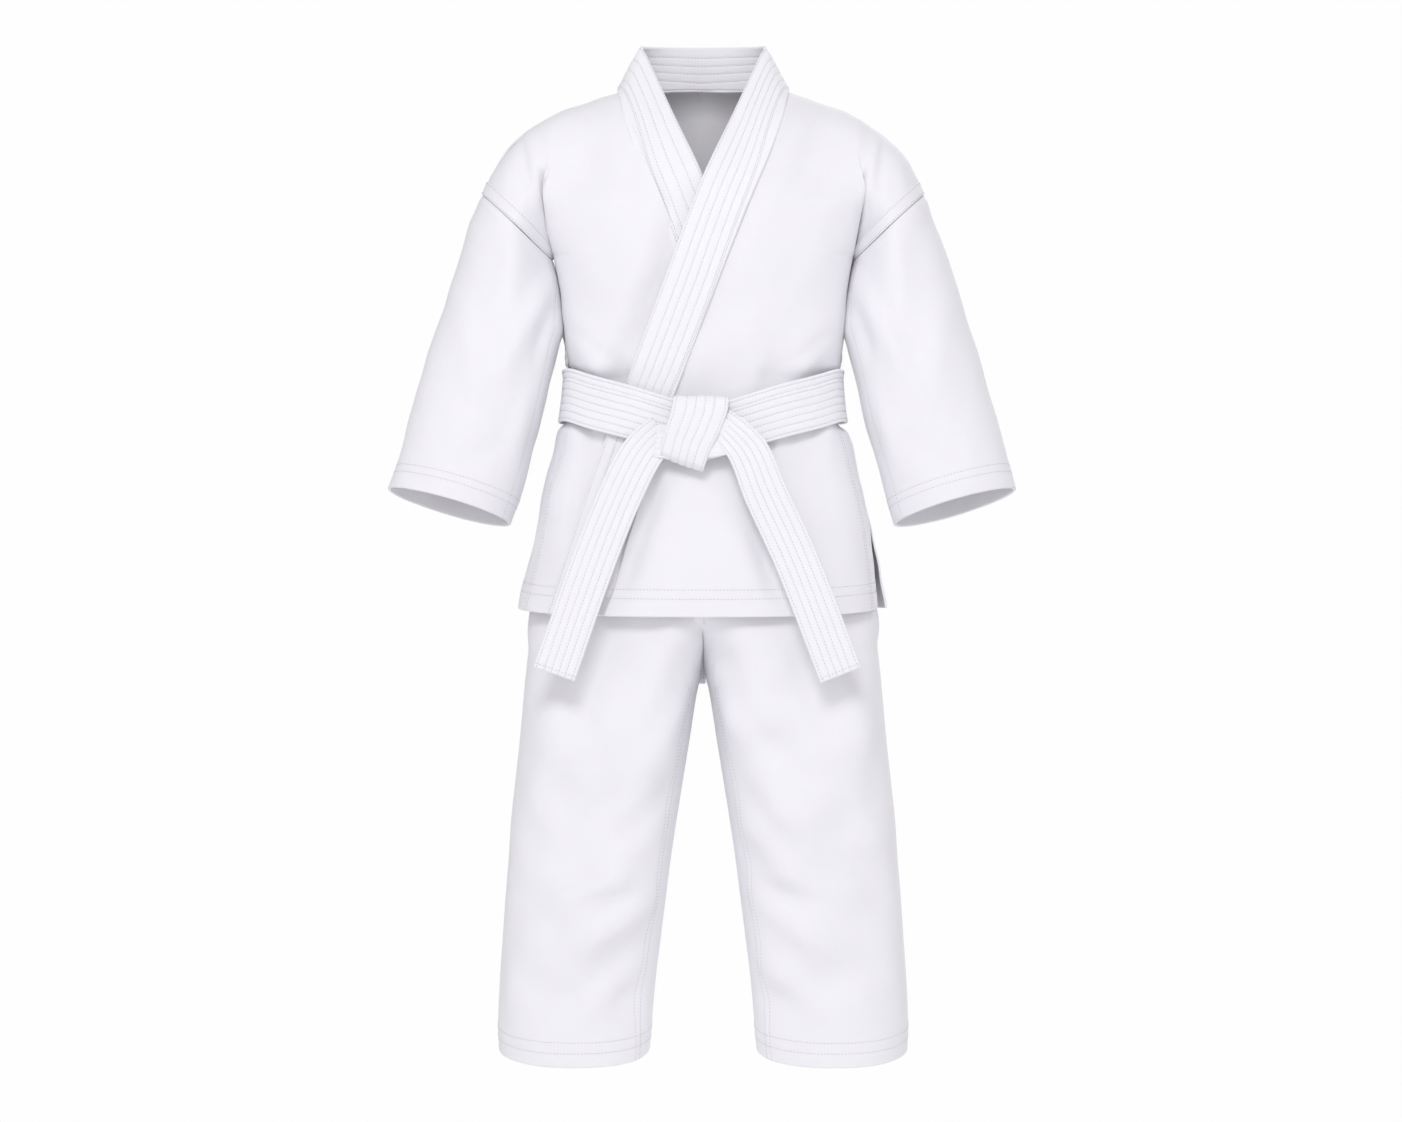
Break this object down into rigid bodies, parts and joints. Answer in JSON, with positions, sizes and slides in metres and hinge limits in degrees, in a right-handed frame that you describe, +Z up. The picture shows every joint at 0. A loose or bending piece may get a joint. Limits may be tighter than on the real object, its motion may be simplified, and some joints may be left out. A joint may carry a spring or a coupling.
{
  "type": "martial arts uniform",
  "caption": "Child's white wrap jacket with quilted lapels, a tied white belt and straight trousers with an elastic waist.",
  "frame": {"origin": "middle of the shoulder line, inside the neck opening, where a hanger or the wearer's shoulders carry the jacket", "axes": "+Z up the body, +X to the wearer's left, -Y to the front"},
  "size_m": [0.5778, 0.1973, 0.9435],
  "materials": {
    "canvas": "plain white cotton canvas, matt",
    "quilted": "several layers of white canvas with rows of stitching, matt",
    "belt": "white ribbed cotton belt with rows of stitching, matt",
    "elastic": "white woven elastic"
  },
  "bodies": {
    "jacket": {"belt_inner_wrap": "belt", "belt_knot_core": "belt", "belt_knot_wrap": "belt", "belt_outer_wrap": "belt", "left_back_panel": "canvas", "left_back_skirt": "canvas", "left_front_panel": "canvas", "left_front_skirt": "canvas", "left_inner_tie": "canvas", "left_lapel": "quilted", "left_lapel_waist": "quilted", "left_outer_tie": "canvas", "left_tail_root": "canvas", "neck_band": "quilted", "right_back_panel": "canvas", "right_back_skirt": "canvas", "right_front_panel": "canvas", "right_front_skirt": "canvas", "right_inner_tie": "canvas", "right_lapel": "quilted", "right_outer_tie": "canvas", "right_tail_root": "canvas"},
    "left_sleeve": {"left_shoulder_cap_front": "canvas", "left_shoulder_cap_back": "canvas", "left_armhole_seam": "quilted", "left_sleeve_front": "canvas", "left_sleeve_back": "canvas", "left_cuff_hem": "canvas"},
    "right_sleeve": {"right_shoulder_cap_front": "canvas", "right_shoulder_cap_back": "canvas", "right_armhole_seam": "quilted", "right_sleeve_front": "canvas", "right_sleeve_back": "canvas", "right_cuff_hem": "canvas"},
    "front_flap": {"left_front_flap": "canvas", "right_front_flap": "canvas", "left_lapel_end": "quilted", "left_front_hem": "canvas", "right_front_hem": "canvas"},
    "back_flap": {"left_back_flap": "canvas", "right_back_flap": "canvas", "left_back_hem": "canvas", "right_back_hem": "canvas"},
    "left_tail": {"left_belt_tail": "belt"},
    "right_tail": {"right_belt_tail": "belt"},
    "trousers": {"waistband_casing": "canvas", "waist_elastic": "elastic", "waistband_lining": "canvas", "crotch_gusset": "quilted", "left_hip_front": "canvas", "left_hip_back": "canvas", "right_hip_front": "canvas", "right_hip_back": "canvas"},
    "left_leg": {"left_leg_front": "canvas", "left_leg_back": "canvas", "left_leg_hem": "canvas"},
    "right_leg": {"right_leg_front": "canvas", "right_leg_back": "canvas", "right_leg_hem": "canvas"}
  },
  "joints": [
    {"name": "left_sleeve_lift", "type": "hinge", "parent": "jacket", "child": "left_sleeve", "pos_m": [0.1465, 0, -0.0195], "axis": [0, -1, 0], "range_deg": [0, 60]},
    {"name": "right_sleeve_lift", "type": "hinge", "parent": "jacket", "child": "right_sleeve", "pos_m": [-0.1465, 0, -0.0195], "axis": [0, 1, 0], "range_deg": [0, 60]},
    {"name": "front_flap_lift", "type": "hinge", "parent": "jacket", "child": "front_flap", "pos_m": [0, -0.0895, -0.379], "axis": [-1, 0, 0], "range_deg": [0, 40]},
    {"name": "back_flap_lift", "type": "hinge", "parent": "jacket", "child": "back_flap", "pos_m": [0, 0.0825, -0.379], "axis": [1, 0, 0], "range_deg": [0, 40]},
    {"name": "left_tail_lift", "type": "hinge", "parent": "jacket", "child": "left_tail", "pos_m": [0.057, -0.101, -0.36], "axis": [-1, 0, 0], "range_deg": [0, 34]},
    {"name": "right_tail_lift", "type": "hinge", "parent": "jacket", "child": "right_tail", "pos_m": [-0.07, -0.101, -0.36], "axis": [-1, 0, 0], "range_deg": [0, 34]},
    {"name": "trousers_slide", "type": "slide", "parent": "jacket", "child": "trousers", "axis": [0, 0, -1], "range_m": [0, 0.25]},
    {"name": "left_leg_lift", "type": "hinge", "parent": "trousers", "child": "left_leg", "pos_m": [0.084, -0.083, -0.5332], "axis": [-1, 0, 0], "range_deg": [0, 50]},
    {"name": "right_leg_lift", "type": "hinge", "parent": "trousers", "child": "right_leg", "pos_m": [-0.084, -0.083, -0.5332], "axis": [-1, 0, 0], "range_deg": [0, 50]}
  ],
  "couplings": [
    {"joint": "left_tail_lift", "follows": "front_flap_lift", "ratio": 0.85},
    {"joint": "right_tail_lift", "follows": "front_flap_lift", "ratio": 0.85}
  ]
}
